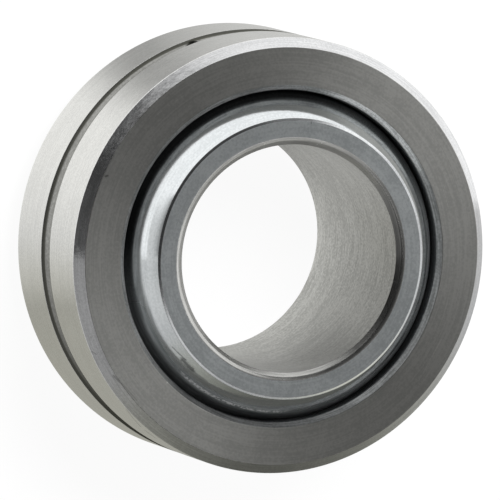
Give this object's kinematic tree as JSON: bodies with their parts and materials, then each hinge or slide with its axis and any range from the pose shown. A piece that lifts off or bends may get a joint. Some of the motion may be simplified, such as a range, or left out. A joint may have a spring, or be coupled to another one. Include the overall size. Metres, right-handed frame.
{
  "type": "strut mount bearing",
  "caption": "Spherical plain bearing for a strut mount: a bored, polished steel ball that swivels in a solid outer race with a grease groove round its rim.",
  "frame": {"origin": "centre of the ball, which is the pivot and lies midway between the race's faces and between the ball's ends", "axes": "+Z along the bore, square to the ball's flat ends; +X along the swivel axis and through the grease holes"},
  "size_m": [0.0366, 0.0364, 0.019],
  "materials": {
    "race_steel": "ground steel, with circular lay on the faces and fine lay round the outside",
    "ball_chrome": "hard-plated steel, polished on the sphere and satin on the flat ends and in the bore"
  },
  "bodies": {
    "outer_race": {"outer_race": "race_steel"},
    "ball": {"ball": "ball_chrome"}
  },
  "joints": [
    {"name": "ball_swivel", "type": "hinge", "parent": "outer_race", "child": "ball", "pos_m": [0, 0, 0], "axis": [1, 0, 0], "range_deg": [-9, 9]}
  ]
}
